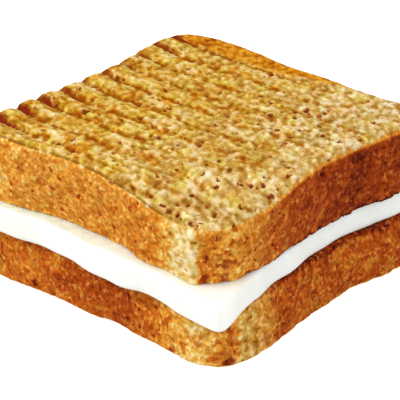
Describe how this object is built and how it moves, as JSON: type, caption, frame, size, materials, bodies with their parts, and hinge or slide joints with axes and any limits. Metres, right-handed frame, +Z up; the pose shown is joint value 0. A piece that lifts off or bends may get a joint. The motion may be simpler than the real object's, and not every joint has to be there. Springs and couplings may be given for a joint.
{
  "type": "toasted cheese sandwich",
  "caption": "Closed toasted sandwich of thick square wholemeal slices with rib grooves from a grill, around a slab of white cheese that sticks out at one corner.",
  "frame": {"origin": "middle of the underside of the bounding box, on the surface that the sandwich lies on", "axes": "+Z up through the slices, +X along the grill grooves, -X at the end where the grooves are deepest, and the squeezed front corner between +X and -Y"},
  "size_m": [0.1058, 0.1056, 0.0477],
  "materials": {
    "toasted_bread": "dry toasted wholemeal crumb and baked crust, dull",
    "white_cheese": "soft white cheese, smooth with a faint moist sheen"
  },
  "bodies": {
    "root": {"bottom_slice": "toasted_bread", "cheese": "white_cheese", "top_slice": "toasted_bread"}
  },
  "joints": []
}
